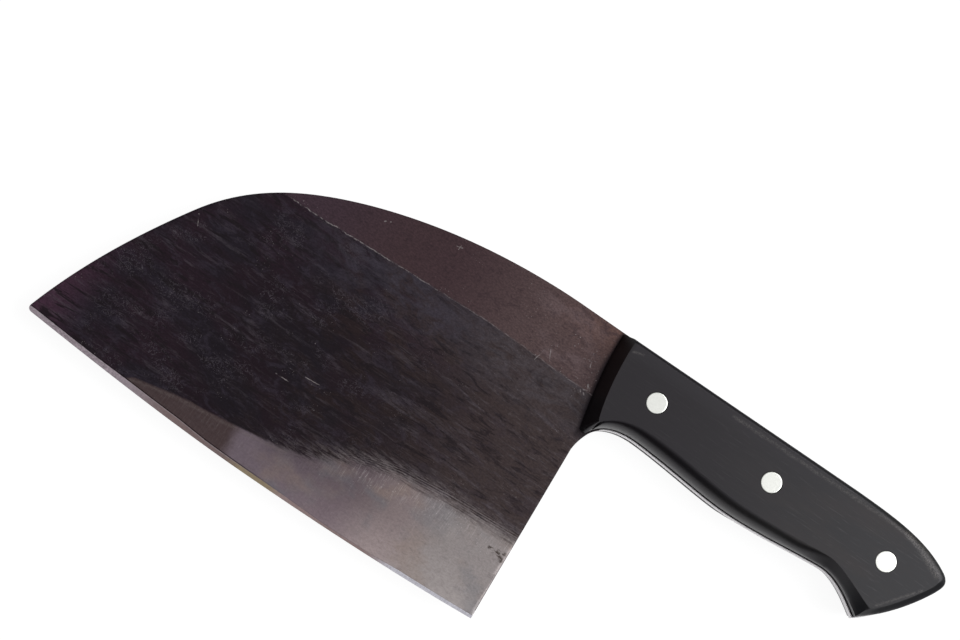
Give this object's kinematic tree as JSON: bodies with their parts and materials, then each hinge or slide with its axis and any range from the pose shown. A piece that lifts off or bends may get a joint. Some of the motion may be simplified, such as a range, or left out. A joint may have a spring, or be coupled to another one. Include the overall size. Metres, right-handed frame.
{
  "type": "butcher knife",
  "caption": "Broad-bladed butcher knife: tall forged blade with a curved spine on a full tang, black riveted handle scales with a hooked butt.",
  "frame": {"origin": "under the middle of the whole knife, on the plane that its lower scale rests on", "axes": "+X from the tip to the butt, +Y from the cutting edge to the spine, +Z square to the blade's side, up from the lower scale to the upper one"},
  "size_m": [0.305, 0.112, 0.022],
  "materials": {
    "forged_steel": "satin",
    "handle_scale": "matte",
    "rivet_steel": "satin"
  },
  "bodies": {
    "root": {"blade": "forged_steel", "scale_upper": "handle_scale", "scale_lower": "handle_scale", "rivet_front_tube": "rivet_steel", "rivet_front_pin": "rivet_steel", "rivet_middle_tube": "rivet_steel", "rivet_middle_pin": "rivet_steel", "rivet_rear_tube": "rivet_steel", "rivet_rear_pin": "rivet_steel"}
  },
  "joints": []
}
